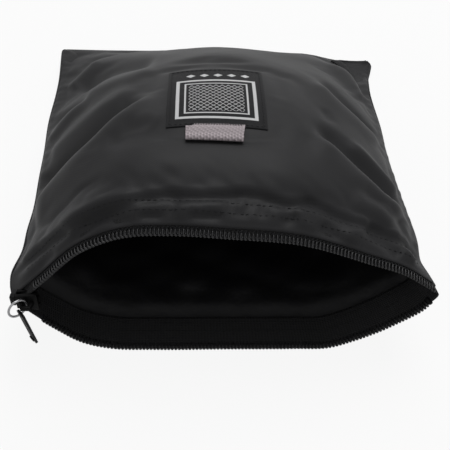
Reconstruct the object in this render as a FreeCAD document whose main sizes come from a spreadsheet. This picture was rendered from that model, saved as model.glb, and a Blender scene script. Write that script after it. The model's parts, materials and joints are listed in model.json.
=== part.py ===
import FreeCAD, Part
import math
import os

import Sketcher

# Zippered padded pouch, lying on its lower panel with its mouth held open.
# X runs across the mouth, Y from the mouth to the folded closed end, Z up.
# The origin is the middle of the flat underside. All sizes are in millimetres or degrees.

V = FreeCAD.Vector
doc = FreeCAD.newDocument("zip_pouch")

# Driving dimensions -------------------------------------------------------------------------

SIZES = [
    ("pouch_length", 220, "rim of the mouth to the folded end"),
    ("mouth_half", 109, "half the width between the side seams at the mouth"),
    ("fold_half", 113, "half the width at the folded end"),
    ("waist_draw", 7, "how far the side seams draw in half way along"),
    ("mouth_rise", 87.2, "height of the open mouth, along its leaning plane"),
    ("fold_rise", 9, "height of the folded end"),
    ("puff_rise", 35, "extra height of the padded top half way along"),
    ("mouth_seam", 40.5, "height of the side seams at the mouth"),
    ("fold_seam", 4.5, "height of the side seams at the folded end"),
    ("seam_lift", 9, "extra height of the side seams half way along"),
    ("mouth_run", 36, "width of the sloping side under each seam at the mouth"),
    ("fold_run", 34, "width of the sloping side under each seam at the folded end"),
    ("heel_radius", 42, "bend between the flat underside and the sloping side"),
    ("mouth_lean", 16, "lean of the mouth plane away from upright"),
    ("layer_gap", 0.2, "clearance between two layers of the wall"),
    ("sole_trim", 0.04, "cloth trimmed level off the underside"),
    ("cloth_thick", 0.6, "coated outer cloth"),
    ("foam_thick", 1.7, "foam padding"),
    ("lining_thick", 0.4, "lining cloth"),
    ("tape_thick", 0.7, "woven zipper tape"),
    ("tape_inside", 12, "zipper tape behind the rim"),
    ("tape_ahead", 6.6, "zipper tape in front of the rim"),
    ("coil_ahead", 7.5, "front edge of the coil in front of the rim"),
    ("coil_wide", 4.2, "width of one side's coil"),
    ("coil_thick", 2.2, "thickness of the coil"),
    ("coil_draw", 6.5, "how far each end of the zipper draws in from the side seam"),
    ("binding_wide", 8, "seam allowance and its binding, inside each side seam"),
    ("binding_thick", 2.4, "thickness of the bound seam allowance"),
    ("binding_end", 24, "binding stops this far short of the folded end"),
    ("slider_long", 11, "slider along the zipper"),
    ("slider_front", 11, "width of the slider's open front"),
    ("slider_rear", 8.6, "width of the slider's rear"),
    ("slider_deep", 5.8, "slider over both plates"),
    ("slider_plate", 1, "thickness of one slider plate"),
    ("slider_flange", 0.9, "thickness of the slider's side flanges"),
    ("slot_wide", 1.5, "slot that the tape runs in"),
    ("wedge_wide", 2.4, "width of the wedge that parts the two coils"),
    ("wedge_long", 4.4, "length of the wedge"),
    ("coil_run", 0.5, "clearance between the slider and what it meets"),
    ("crown_long", 7.4, "length of the bridge on the slider"),
    ("crown_wide", 2.4, "width of the bridge"),
    ("crown_tall", 4.7, "height of the bridge over the plate"),
    ("eye_long", 3.6, "length of the eye under the bridge"),
    ("eye_tall", 2.9, "height of the eye under the bridge"),
    ("ring_radius", 4.9, "pull ring, to the middle of its wire"),
    ("wire_radius", 0.6, "wire of the pull ring"),
    ("ring_turn", 42, "turn of the ring away from the slider at rest"),
    ("ring_lift", 12, "how far round the ring stands above the eye at rest"),
    ("slider_past", 0.5, "slider's middle past the point where the lips meet"),
    ("pull_long", 37.8, "length of the pull tab"),
    ("pull_wide", 5.6, "width of the pull tab"),
    ("pull_thick", 1.5, "thickness of the pull tab"),
    ("pull_hole", 1.4, "radius of the hole in the pull tab"),
    ("pull_margin", 2.6, "hole centre to the top end of the pull tab"),
    ("nub_radius", 2, "radius of the grip nub near the free end"),
    ("nub_tall", 0.7, "height of the grip nub"),
    ("nub_place", 5, "grip nub to the free end"),
    ("slack", 0.3, "free space at rest between pieces that move or lie on each other"),
    ("stop_short", 5, "middle of the top stops short of the coil's corner"),
    ("stop_long", 2.6, "length of one zipper stop"),
    ("stop_over", 0.6, "how far a stop stands over the coil"),
    ("chain_wide", 4.6, "width of the closed coil at the slider's end"),
    ("label_half", 26, "half the width of the label"),
    ("label_across", -5, "middle of the label across the pouch"),
    ("label_start", 59.5, "front edge of the label behind the rim"),
    ("label_long", 59.5, "length of the label"),
    ("label_thick", 0.9, "thickness of the label"),
    ("label_hem", 2, "label edge to its line of stitching"),
    ("thread_wide", 0.6, "width of a line of stitching"),
    ("thread_tall", 0.25, "height of a line of stitching"),
    ("webbing_half", 14.5, "half the width of the webbing loop"),
    ("webbing_across", -6.5, "middle of the webbing loop across the pouch"),
    ("webbing_long", 9, "length of the webbing loop beyond its fold line"),
    ("webbing_thick", 1.3, "thickness of the webbing"),
    ("webbing_bend", 0.3, "inner radius where the webbing doubles back"),
    ("webbing_root_long", 1.6, "sewn root of the webbing in front of the label"),
    ("webbing_back", 1.1, "space between the root of the webbing and the label"),
    ("tack_half", 11, "half the length of the bar of stitches over the loop"),
    ("first_row", 2.4, "rim to the first row of topstitching"),
    ("row_gap", 5.5, "first row of topstitching to the second"),
]

sheet = doc.addObject("Spreadsheet::Sheet", "Sizes")
for row, (alias, size, meaning) in enumerate(SIZES, start=1):
    sheet.set(f"A{row}", meaning)
    sheet.set(f"B{row}", str(size))
    sheet.setAlias(f"B{row}", alias)
doc.recompute()


def value(expression):
    """The number that an expression on the sheet gives."""
    result = sheet.evalExpression(expression)
    return float(getattr(result, "Value", result))


def S(alias):
    return f"Sizes.{alias}"


# Shape of the pouch -------------------------------------------------------------------------


def blend(first, last, t):
    return f"({S(first)} + ({S(last)} - {S(first)}) * {t})"


def swell(amount, t):
    return f"(4 * {S(amount)} * {t} * (1 - {t}))"


class Station:
    """A lens-shaped cross-section, y behind the rim, inset from the outer cloth.

    Every member is an expression. half and seam place the right-hand corner of the lens, top is
    the height of its middle, and draw pulls both corners in further than the inset does.
    """

    def __init__(self, y, inset="0", draw="0"):
        t = f"(({y}) / {S('pouch_length')})"
        self.y = f"({y} - {S('pouch_length')} / 2)"
        self.run = blend("mouth_run", "fold_run", t)
        self.inset = f"({inset})"
        self.lean = f"({S('mouth_lean')} * (1 - {t}))"
        self.seam = f"({blend('mouth_seam', 'fold_seam', t)} + {swell('seam_lift', t)})"
        slope = f"atan({self.seam} / {self.run})"
        width = f"({blend('mouth_half', 'fold_half', t)} - {swell('waist_draw', t)})"
        self.half = f"({width} - {self.inset} / sin({slope}) - {draw})"
        self.top = f"({blend('mouth_rise', 'fold_rise', t)} + {swell('puff_rise', t)} - {self.inset})"
        # the heel is the arc between the flat floor and the straight slope up to the corner
        self.heel = f"({S('heel_radius')} - {self.inset})"
        reach = f"({self.heel} * tan({slope} / 2))"
        toe = f"({self.half} - ({self.seam} - {self.inset}) / tan({slope}))"
        self.heel_in = f"({toe} - {reach})"
        self.heel_out = f"({toe} + {reach} * cos({slope}))"
        self.heel_up = f"({self.inset} + {reach} * sin({slope}))"
        rise = f"({self.top} - {self.seam})"
        self.arch = f"(({self.half} ^ 2 + {rise} ^ 2) / (2 * {rise}))"


def depth(*parts):
    """The inset under a stack of layers, with a clearance after each."""
    return " + ".join(f"{S(part)} + {S('layer_gap')}" for part in parts)


CLOTH_IN = S("cloth_thick")
FOAM_OUT = depth("cloth_thick")
FOAM_IN = f"{FOAM_OUT} + {S('foam_thick')}"
TAPE_OUT = depth("cloth_thick", "foam_thick")
TAPE_IN = f"{TAPE_OUT} + {S('tape_thick')}"
LINING_OUT = TAPE_OUT
LINING_IN = f"{LINING_OUT} + {S('lining_thick')}"
COIL_IN = f"{TAPE_OUT} - {S('layer_gap')}"
COIL_OUT = f"{COIL_IN} - {S('coil_thick')}"


# Sketching helpers --------------------------------------------------------------------------


def plane(body, role):
    return next(f for f in body.Origin.OriginFeatures if f.Role == role)


def new_sketch(body, name, role="XY_Plane"):
    sketch = body.newObject("Sketcher::SketchObject", name)
    sketch.AttachmentSupport = [(plane(body, role), "")]
    sketch.MapMode = "FlatFace"
    return sketch


def station_sketch(body, name, station):
    """A sketch on the station's leaning plane: its X is across, its Y up the plane."""
    sketch = new_sketch(body, name, "XZ_Plane")
    # any turn about X sets the axis; the angle itself is then bound to the station's lean
    sketch.AttachmentOffset = FreeCAD.Placement(V(0, 0, 0), FreeCAD.Rotation(V(1, 0, 0), -1))
    sketch.setExpression("AttachmentOffset.Base.z", f"-({station.y})")
    sketch.setExpression("AttachmentOffset.Rotation.Angle", f"-({station.lean})")
    return sketch


def fix(sketch, constraint, expression):
    index = sketch.addConstraint(constraint)
    sketch.setExpression(f"Constraints[{index}]", expression)


def outline(sketch, corners, arcs=None):
    """A closed outline through corners given as pairs of expressions.

    arcs maps the number of an edge to the expressions of its centre and radius, and to whether
    it runs anticlockwise. Every corner and radius is bound to its expression.
    """
    arcs = arcs or {}
    points = [V(value(x), value(y), 0) for x, y in corners]
    count = len(points)
    ends = []
    for n, start in enumerate(points):
        stop = points[(n + 1) % count]
        if n in arcs:
            (cx, cy), radius, forward = arcs[n]
            centre = V(value(cx), value(cy), 0)
            first, last = (start, stop) if forward else (stop, start)
            angles = [math.atan2(p.y - centre.y, p.x - centre.x) for p in (first, last)]
            if angles[1] < angles[0]:
                angles[1] += 2 * math.pi
            circle = Part.Circle(centre, V(0, 0, 1), value(radius))
            edge = sketch.addGeometry(Part.ArcOfCircle(circle, *angles))
            ends.append((edge, 1, 2) if forward else (edge, 2, 1))
        else:
            edge = sketch.addGeometry(Part.LineSegment(start, stop))
            ends.append((edge, 1, 2))
    for n in range(count):
        edge, _, stop = ends[n]
        following, start, _ = ends[(n + 1) % count]
        sketch.addConstraint(Sketcher.Constraint("Coincident", edge, stop, following, start))
    for n, (x, y) in enumerate(corners):
        edge, start, _ = ends[n]
        fix(sketch, Sketcher.Constraint("DistanceX", -1, 1, edge, start, points[n].x), x)
        fix(sketch, Sketcher.Constraint("DistanceY", -1, 1, edge, start, points[n].y), y)
    for n, (_, radius, _) in arcs.items():
        fix(sketch, Sketcher.Constraint("Radius", ends[n][0], value(radius)), radius)
    return sketch


def circle(sketch, x, y, radius):
    shape = Part.Circle(V(value(x), value(y), 0), V(0, 0, 1), value(radius))
    edge = sketch.addGeometry(shape)
    fix(sketch, Sketcher.Constraint("DistanceX", -1, 1, edge, 3, value(x)), x)
    fix(sketch, Sketcher.Constraint("DistanceY", -1, 1, edge, 3, value(y)), y)
    fix(sketch, Sketcher.Constraint("Radius", edge, value(radius)), radius)


def negative(expression):
    return f"-({expression})"


def half_of(expression):
    return f"({expression} / 2)"


def arch_arc(station, forward):
    centre = ("0", f"{station.top} - {station.arch}")
    return centre, station.arch, forward


def heel_arc(station, side, forward):
    centre = (f"{side} * {station.heel_in}", f"{station.inset} + {station.heel}")
    return centre, station.heel, forward


def floor_corners(s):
    """The lower half of a lens, from its left corner to its right one."""
    return [
        (negative(s.half), s.seam),
        (negative(s.heel_out), s.heel_up),
        (negative(s.heel_in), s.inset),
        (s.heel_in, s.inset),
        (s.heel_out, s.heel_up),
        (s.half, s.seam),
    ]


def draw_lens(sketch, s):
    arcs = {1: heel_arc(s, -1, True), 3: heel_arc(s, 1, True), 5: arch_arc(s, True)}
    outline(sketch, floor_corners(s), arcs)


def draw_upper(sketch, s, inner):
    corners = [
        (s.half, s.seam),
        (negative(s.half), s.seam),
        (negative(inner.half), s.seam),
        (inner.half, s.seam),
    ]
    outline(sketch, corners, {0: arch_arc(s, True), 2: arch_arc(inner, False)})


def draw_lower(sketch, s, inner):
    arcs = {
        1: heel_arc(s, -1, True),
        3: heel_arc(s, 1, True),
        7: heel_arc(inner, 1, False),
        9: heel_arc(inner, -1, False),
    }
    outline(sketch, floor_corners(s) + floor_corners(inner)[::-1], arcs)


def new_body(name):
    body = doc.addObject("PartDesign::Body", name)
    body.Label = name
    return body


def loft(body, kind, sketches):
    feature = body.newObject(f"PartDesign::{kind}Loft", f"{body.Name}_{kind.lower()}")
    feature.Profile = sketches[0]
    feature.Sections = sketches[1:]
    return feature


# Walls of the pouch: three nested cups, each a loft with a smaller loft taken out --------------

WALL_STEPS = (0, 0.14, 0.3, 0.48, 0.66, 0.82, 0.93, 1)


def lens_stack(body, name, first, inset):
    """Sketches from first, behind the rim, to the end wall that the inset leaves."""
    last = f"({S('pouch_length')} - ({inset}))"
    sketches = []
    for n, step in enumerate(WALL_STEPS):
        station = Station(f"({first} + ({last} - ({first})) * {step})", inset)
        sketch = station_sketch(body, f"{name}_{n}", station)
        draw_lens(sketch, station)
        sketches.append(sketch)
    return sketches


def cup(name, first, outer, inner):
    body = new_body(name)
    loft(body, "Additive", lens_stack(body, f"{name}_outside", first, outer))
    hollow_from = f"({first} - {S('coil_ahead')} / 2)"
    loft(body, "Subtractive", lens_stack(body, f"{name}_inside", hollow_from, inner))
    return body


shell = cup("outer_shell", "0", f"(-1 * {S('sole_trim')})", CLOTH_IN)
cup("padding", S("layer_gap"), FOAM_OUT, FOAM_IN)
cup("lining", f"({S('tape_inside')} + {S('layer_gap')})", LINING_OUT, LINING_IN)


# The underside is trimmed to a true plane, the face that the pouch rests on
sole = new_sketch(shell, "sole_plan")
sole_x = f"({S('fold_half')} * 2)"
sole_y = S("pouch_length")
corner = [(1, 1), (-1, 1), (-1, -1), (1, -1)]
outline(sole, [(f"({sx} * {sole_x})", f"({sy} * {sole_y})") for sx, sy in corner])
sole_cut = shell.newObject("PartDesign::Pocket", "sole_cut")
sole_cut.Profile = sole
sole_cut.setExpression("Length", S("layer_gap"))


# Bands that run round the upper or the lower lip -----------------------------------------------

coil_back = f"({S('coil_wide')} - {S('coil_ahead')})"


def tape_draw(y):
    """The draw at the corners: the tape comes in from the side seams to meet the coil."""
    return f"({S('coil_draw')} * ({S('tape_inside')} - {y}) / ({S('tape_inside')} - {coil_back}))"


def band(name, half, stops, outer, inner, ruled=False):
    """A strip lofted through stops, each a distance behind the rim and a draw at the corners."""
    body = new_body(name)
    sketches = []
    for n, (y, draw) in enumerate(stops):
        station = Station(y, outer, draw)
        sketch = station_sketch(body, f"{name}_{n}", station)
        draw_half = draw_upper if half == "upper" else draw_lower
        draw_half(sketch, station, Station(y, inner, draw))
        sketches.append(sketch)
    loft(body, "Additive", sketches).Ruled = ruled
    return body


TAPE_STOPS = [
    (negative(S("tape_ahead")), S("coil_draw")),
    (f"({coil_back} + {S('layer_gap')})", S("coil_draw")),
    (half_of(S("tape_inside")), tape_draw(half_of(S("tape_inside")))),
    (S("tape_inside"), "0"),
]
COIL_STOPS = [(negative(S("coil_ahead")), S("coil_draw")), (coil_back, S("coil_draw"))]

for half in ("upper", "lower"):
    band(f"tape_whole_{half}", half, TAPE_STOPS, TAPE_OUT, TAPE_IN, ruled=True)
    band(f"coil_whole_{half}", half, COIL_STOPS, COIL_OUT, COIL_IN)


# The zipper's own frame: x along the mouth, y up its leaning plane, z out of the mouth ----------

coil_middle = f"({S('coil_wide')} / 2 - {S('coil_ahead')})"
chain = Station(coil_middle, f"({COIL_OUT} + {S('coil_thick')} / 2)", S("coil_draw"))
slider_x = f"(-({chain.half}) - {S('slider_past')})"
LEAN = value(chain.lean)
OUT = V(0, -math.cos(math.radians(LEAN)), math.sin(math.radians(LEAN)))
UP = V(0, math.sin(math.radians(LEAN)), math.cos(math.radians(LEAN)))


def bind_frame(obj, x, up, out, spin=FreeCAD.Rotation()):
    """Places an object by an offset in the zipper's frame, after a spin in that frame."""
    lean = chain.lean
    obj.Placement.Rotation = FreeCAD.Rotation(V(1, 0, 0), 90 - LEAN).multiply(spin)
    obj.setExpression(".Placement.Base.x", x)
    obj.setExpression(".Placement.Base.y", f"{chain.y} + ({up}) * sin({lean}) - ({out}) * cos({lean})")
    obj.setExpression(".Placement.Base.z", f"({up}) * cos({lean}) + ({out}) * sin({lean})")


def frame_box(name, x, up, out):
    """A box in the zipper's frame; each of x, up and out is a pair: low side and size."""
    box = doc.addObject("Part::Box", name)
    for side, (_, size) in (("Length", x), ("Width", up), ("Height", out)):
        box.setExpression(side, size)
    bind_frame(box, x[0], up[0], out[0])
    return box


def centred(middle, size):
    return f"(({middle}) - ({size}) / 2)", size


def boolean(kind, name, *members):
    result = doc.addObject(f"Part::{kind}", name)
    result.Label = name
    if kind == "Cut":
        result.Base, result.Tool = members
    else:
        result.Shapes = list(members)
    return result


# Coils and tapes, cut back at the left where the slider stands and at the right by the stops -----

def stop_box(name, up, slope, grow="0"):
    """A stop clamped on the end of one coil, grown by a clearance; its middle is on the coil's
    line at stop_x."""
    block = doc.addObject("Part::Box", name)
    block.Label = name
    block.setExpression("Length", f"{S('stop_long')} + 2 * {grow}")
    block.setExpression("Width", f"{S('coil_thick')} + 2 * {grow}")
    block.setExpression("Height", f"{S('coil_wide')} + {S('stop_over')} + {grow}")
    angle = f"({slope})"
    spin = FreeCAD.Rotation(V(0, 0, 1), value(slope))
    half_thick = f"({S('coil_thick')} / 2 + {grow})"
    corner_x = f"{stop_x} + {half_thick} * sin({angle}) - {grow} * cos({angle})"
    corner_up = f"{up} - {half_thick} * cos({angle}) - {grow} * sin({angle})"
    bind_frame(block, corner_x, corner_up, f"-({S('coil_wide')} / 2 + {grow})", spin)
    return block


slider_deep = f"({S('slider_deep')} + 2 * {S('coil_run')})"
slider_high = f"({S('slider_front')} + 2 * {S('coil_run')})"
slider_room = f"({S('slider_long')} + 2 * {S('coil_run')})"
stop_x = f"({chain.half} - {S('stop_short')})"
# a stop's lower corner reaches back from its middle by up to half its thickness
travel = f"({stop_x} - {S('coil_thick')} / 2 - {S('coil_run')} - {S('slider_long')} / 2 - {slider_x})"
tail_x = f"({stop_x} - {S('layer_gap')})"
tail_long = f"({chain.half} - {tail_x} + {S('coil_wide')})"
tail_high = S("mouth_rise")

arch_up = f"({chain.top} - {chain.arch} + sqrt({chain.arch} ^ 2 - {stop_x} ^ 2))"
side_up = f"({chain.seam} - ({chain.half} - {stop_x}) * {chain.seam} / {chain.run})"
STOP_LINES = {
    "upper": (arch_up, f"(-1 * asin({stop_x} / {chain.arch}))"),
    "lower": (side_up, f"(atan({chain.seam} / {chain.run}))"),
}

for half in ("upper", "lower"):
    slider_space = frame_box(
        f"slider_space_{half}",
        centred(slider_x, slider_room),
        centred(chain.seam, slider_high),
        centred("0", slider_deep),
    )
    stop_box(f"top_stop_{half}", *STOP_LINES[half])
    stop_space = stop_box(f"stop_space_{half}", *STOP_LINES[half], S("layer_gap"))
    coil = doc.getObject(f"coil_whole_{half}")
    left_cut = boolean("Cut", f"coil_from_slider_{half}", coil, slider_space)
    tail = frame_box(
        f"coil_tail_{half}",
        (tail_x, tail_long),
        centred(chain.seam, tail_high),
        centred("0", f"({S('coil_wide')} * 3)"),
    )
    short_coil = boolean("Cut", f"coil_to_stop_{half}", left_cut, tail)
    boolean("Cut", f"zip_coil_{half}", short_coil, stop_space)
    tape = doc.getObject(f"tape_whole_{half}")
    short_tape = boolean("Cut", f"tape_from_slider_{half}", tape, slider_space)
    boolean("Cut", f"zip_tape_{half}", short_tape, stop_space)


# The closed coil behind the slider, the tab that sews it to the corner, and its stop -------------

rear_x = f"({slider_x} - {S('slider_long')} / 2 - {S('coil_run')})"
clip_x = f"({rear_x} - {S('stop_long')})"
chain_low = f"(-({S('coil_thick')}) / 2)"
chain_box = frame_box(
    "closed_coil",
    (clip_x, f"({slider_x} - {clip_x})"),
    centred(chain.seam, S("chain_wide")),
    (chain_low, S("coil_thick")),
)
tab_deep = f"(-({coil_middle}) - 2 * {S('slack')} - {S('coil_thick')} / 2)"
tab_box = frame_box(
    "corner_tab",
    (clip_x, S("stop_long")),
    centred(chain.seam, S("chain_wide")),
    (f"({chain_low} - {tab_deep})", tab_deep),
)
boolean("MultiFuse", "zip_end", chain_box, tab_box)

clip_deep = f"({S('coil_thick')} + {S('stop_over')} + {S('layer_gap')})"
clip_high = f"({S('chain_wide')} + 2 * {S('stop_over')} + 2 * {S('layer_gap')})"
clip_block = frame_box(
    "clip_block", (clip_x, S("stop_long")), centred(chain.seam, clip_high), (chain_low, clip_deep)
)
clip_throat = frame_box(
    "clip_throat",
    centred(f"{clip_x} + {S('stop_long')} / 2", f"({S('stop_long')} * 2)"),
    centred(chain.seam, f"({S('chain_wide')} + 2 * {S('layer_gap')})"),
    (f"({chain_low} * 2)", f"({S('coil_thick')} * 1.5 + {S('layer_gap')})"),
)
boolean("Cut", "bottom_stop", clip_block, clip_throat)


# Slider, its bridge, the ring and the pull tab --------------------------------------------------

def symmetric(feature, length):
    feature.SideType = "Symmetric"
    feature.setExpression("Length", length)


def pad(body, sketch, name, length, both_ways=False):
    feature = body.newObject("PartDesign::Pad", name)
    feature.Profile = sketch
    if both_ways:
        symmetric(feature, length)
    else:
        feature.setExpression("Length", length)
    return feature


def trapezoid(sketch, x_low, x_high, low_half, high_half):
    corners = [
        (x_low, negative(low_half)),
        (x_high, negative(high_half)),
        (x_high, high_half),
        (x_low, low_half),
    ]
    outline(sketch, corners)


def pocket(body, sketch, name, length):
    feature = body.newObject("PartDesign::Pocket", name)
    feature.Profile = sketch
    symmetric(feature, length)
    return feature


def slider_body():
    body = new_body("slider_body")
    long_half = half_of(S("slider_long"))
    rear_half = half_of(S("slider_rear"))
    front_half = half_of(S("slider_front"))
    plan = new_sketch(body, "slider_plan")
    trapezoid(plan, negative(long_half), long_half, rear_half, front_half)
    pad(body, plan, "slider_block", S("slider_deep"), True)
    # the channel runs past both ends and leaves the wedge standing in its front
    channel = new_sketch(body, "slider_channel_plan")
    flange = S("slider_flange")
    widen = f"(({front_half} - {rear_half}) / 2)"
    inner_rear = f"({rear_half} - {flange} - {widen})"
    inner_front = f"({front_half} - {flange} + {widen})"
    over = S("slider_long")
    trapezoid(channel, negative(over), over, inner_rear, inner_front)
    wedge_half = half_of(S("wedge_wide"))
    wedge_back = f"({long_half} - {S('wedge_long')})"
    outline(channel, [(wedge_back, "0"), (long_half, negative(wedge_half)), (long_half, wedge_half)])
    pocket(body, channel, "slider_channel", f"{S('slider_deep')} - 2 * {S('slider_plate')}")
    for side, sign in (("lower", "-1 * "), ("upper", "")):
        slot = new_sketch(body, f"slider_slot_{side}")
        near, far = f"({sign}{S('wedge_wide')})", f"({sign}{S('slider_front')})"
        corners = [(negative(over), near), (over, near), (over, far), (negative(over), far)]
        outline(slot, corners)
        pocket(body, slot, f"slider_slot_cut_{side}", S("slot_wide"))
    bind_frame(body, slider_x, chain.seam, "0")


def slider_crown():
    body = new_body("slider_crown")
    side = new_sketch(body, "crown_side", "XZ_Plane")
    base_half = half_of(S("crown_long"))
    shoulder = f"({base_half} - {S('crown_tall')} / 4)"
    eye_half = half_of(S("eye_long"))
    arch = [
        (negative(base_half), "0"),
        (negative(eye_half), "0"),
        (negative(eye_half), S("eye_tall")),
        (eye_half, S("eye_tall")),
        (eye_half, "0"),
        (base_half, "0"),
        (shoulder, S("crown_tall")),
        (negative(shoulder), S("crown_tall")),
    ]
    outline(side, arch)
    pad(body, side, "crown_block", S("crown_wide"), True)
    bind_frame(body, slider_x, chain.seam, half_of(S("slider_deep")))


eye_out = f"({S('slider_deep')} / 2 + {S('eye_tall')} / 2)"
ring_reach = f"({S('ring_radius')} * cos({S('ring_lift')}))"
ring_middle = (
    f"({slider_x} - {ring_reach} * cos({S('ring_turn')}))",
    f"({chain.seam} + {S('ring_radius')} * sin({S('ring_lift')}))",
    f"({eye_out} + {ring_reach} * sin({S('ring_turn')}))",
)


def pull_ring():
    ring = doc.addObject("Part::Torus", "pull_ring")
    ring.Label = "pull_ring"
    ring.setExpression("Radius1", S("ring_radius"))
    ring.setExpression("Radius2", S("wire_radius"))
    spin = FreeCAD.Rotation(V(0, 1, 0), value(S("ring_turn")))
    bind_frame(ring, *ring_middle, spin)


def frame_point(x, up, out):
    """The world position of a point given in the zipper's frame."""
    return V(value(x), value(chain.y), 0) + UP * value(up) + OUT * value(out)


def pull_tab():
    """A flat tab that hangs upright on the lowest point of the ring's wire."""
    body = new_body("pull_tab")
    plan = new_sketch(body, "tab_plan")
    wide_half = half_of(S("pull_wide"))
    top = S("pull_margin")
    bottom = f"({top} - {S('pull_long')})"
    neck = f"({S('pull_wide')} / 4)"
    corners = [
        (negative(neck), top),
        (negative(wide_half), f"{top} - {neck}"),
        (negative(wide_half), f"{bottom} + {wide_half}"),
        ("0", bottom),
        (wide_half, f"{bottom} + {wide_half}"),
        (wide_half, f"{top} - {neck}"),
        (neck, top),
    ]
    rounding = (("0", f"{bottom} + {wide_half}"), wide_half, True)
    outline(plan, corners, {2: rounding, 3: rounding})
    circle(plan, "0", "0", S("pull_hole"))
    pad(body, plan, "tab_plate", S("pull_thick"), True)
    grip = new_sketch(body, "nub_plan")
    circle(grip, "0", f"{bottom} + {S('nub_place')}", S("nub_radius"))
    pad(body, grip, "tab_nub", f"{S('pull_thick')} / 2 + {S('nub_tall')}")
    turn = math.radians(value(S("ring_turn")))
    ring_normal = V(math.sin(turn), 0, 0) + OUT * math.cos(turn)
    axle = ring_normal.cross(V(0, 0, 1)).normalize()
    lowest = ring_normal.cross(axle) * value(S("ring_radius"))
    wire_low = frame_point(*ring_middle) + lowest
    drop = V(0, 0, value(f"{S('pull_hole')} - {S('wire_radius')} - {S('slack')}"))
    body.Placement.Base = wire_low - drop
    body.Placement.Rotation = FreeCAD.Rotation(V(), V(0, 0, 1), axle, "ZYX")
    return wire_low, axle


slider_body()
slider_crown()
pull_ring()
wire_low, axle = pull_tab()


# Label, its stitching and the webbing loop in front of it ---------------------------------------

def patch(name, middle, half_wide, stops, low, high):
    """A curved sheet lofted over the top of the pouch, between two heights above its cloth."""
    body = new_body(name)
    sides = (f"({middle} + {half_wide})", f"({middle} - {half_wide})")
    sketches = []
    for n, y in enumerate(stops):
        s = Station(y)
        sketch = station_sketch(body, f"{name}_{n}", s)
        centre = f"({s.top} - {s.arch})"
        outer, inner = (f"({s.arch} + {offset})" for offset in (high, low))
        corners = [(x, f"({centre} + sqrt({outer} ^ 2 - {x} ^ 2))") for x in sides]
        corners += [(x, f"({centre} + sqrt({inner} ^ 2 - {x} ^ 2))") for x in sides[::-1]]
        arcs = {0: (("0", centre), outer, True), 2: (("0", centre), inner, False)}
        outline(sketch, corners, arcs)
        sketches.append(sketch)
    loft(body, "Additive", sketches)
    return body


def along_label(margin):
    """Four stops from the label's front edge to its back edge, in from both by the margin."""
    steps = (0, 1 / 3, 2 / 3, 1)
    long = f"({S('label_long')} - 2 * ({margin}))"
    return [f"({S('label_start')} + {margin} + {long} * {step})" for step in steps]


label_top = f"({S('slack')} + {S('label_thick')})"
thread_low = f"({label_top} + {S('layer_gap')} / 2)"
thread_high = f"({thread_low} + {S('thread_tall')})"
middle = S("label_across")
patch("label_patch", middle, S("label_half"), along_label("0"), S("slack"), label_top)

hem_half = f"({S('label_half')} - {S('label_hem')})"
hem_stops = along_label(S("label_hem"))
thread_whole = patch("label_thread", middle, hem_half, hem_stops, thread_low, thread_high)
inner_half = f"({hem_half} - {S('thread_wide')})"
inner_stops = along_label(f"({S('label_hem')} + {S('thread_wide')})")
void_high = f"({thread_high} + 1)"
thread_void = patch("label_thread_void", middle, inner_half, inner_stops, S("slack"), void_high)
boolean("Cut", "label_stitching", thread_whole, thread_void)

tack_low = f"({S('label_start')} + {S('label_hem')} + 2 * {S('thread_wide')})"
tack_stops = [tack_low, f"({tack_low} + 2 * {S('thread_wide')})"]
patch("webbing_tack", S("webbing_across"), S("tack_half"), tack_stops, thread_low, thread_high)


def surface_point(x, y):
    """A point on the top cloth, and the way along it from there towards the mouth."""
    def spot(expression):
        s = Station(expression)
        lean = math.radians(value(s.lean))
        up = value(f"({s.top} - {s.arch} + sqrt({s.arch} ^ 2 - {x} ^ 2))")
        return V(value(x), value(s.y) + up * math.sin(lean), up * math.cos(lean))

    here = spot(y)
    towards = spot(f"({y} - {S('webbing_long')})") - here
    return here, towards.normalize()


def webbing_side(sketch, low, length, doubled):
    """A strip of webbing on edge: one flat layer pair, doubled back round a bend or plain."""
    thick = f"({S('webbing_thick')} * 2 + {S('webbing_bend')} * 2)"
    outer = half_of(thick)
    if not doubled:
        corners = [(low, negative(outer)), (f"{low} + {length}", negative(outer))]
        corners += [(f"{low} + {length}", outer), (low, outer)]
        outline(sketch, corners)
        return
    bend = S("webbing_bend")
    far = f"({length} - {outer})"
    corners = [
        (low, negative(outer)),
        (far, negative(outer)),
        (f"({far} + {outer})", "0"),
        (far, outer),
        (low, outer),
        (low, bend),
        (far, bend),
        (f"({far} + {bend})", "0"),
        (far, negative(bend)),
        (low, negative(bend)),
    ]
    outside = ((far, "0"), outer, True)
    inside = ((far, "0"), bend, False)
    outline(sketch, corners, {1: outside, 2: outside, 6: inside, 7: inside})


def webbing(name, low, length, doubled):
    """low is measured from the fold line; the strip runs along local X, towards the mouth."""
    body = new_body(name)
    side = new_sketch(body, f"{name}_side", "XZ_Plane")
    webbing_side(side, low, length, doubled)
    pad(body, side, f"{name}_strip", f"2 * {S('webbing_half')}", True)
    body.Placement.Base = hinge
    body.Placement.Rotation = FreeCAD.Rotation(towards, V(), normal, "XZY")
    return body


webbing_half_thick = f"({S('webbing_thick')} + {S('webbing_bend')})"
root_back = f"({webbing_half_thick} + {S('slack')} + {S('webbing_root_long')})"
fold_y = f"({S('label_start')} - {S('webbing_back')} - {root_back})"
surface, towards = surface_point(S("webbing_across"), fold_y)
normal = V(1, 0, 0).cross(towards) * -1
hinge = surface + normal * value(f"{webbing_half_thick} + {S('slack')}")
webbing("webbing_loop", "0", S("webbing_long"), True)
webbing("webbing_root", negative(root_back), S("webbing_root_long"), False)


# Topstitching on both lips ----------------------------------------------------------------------

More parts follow.
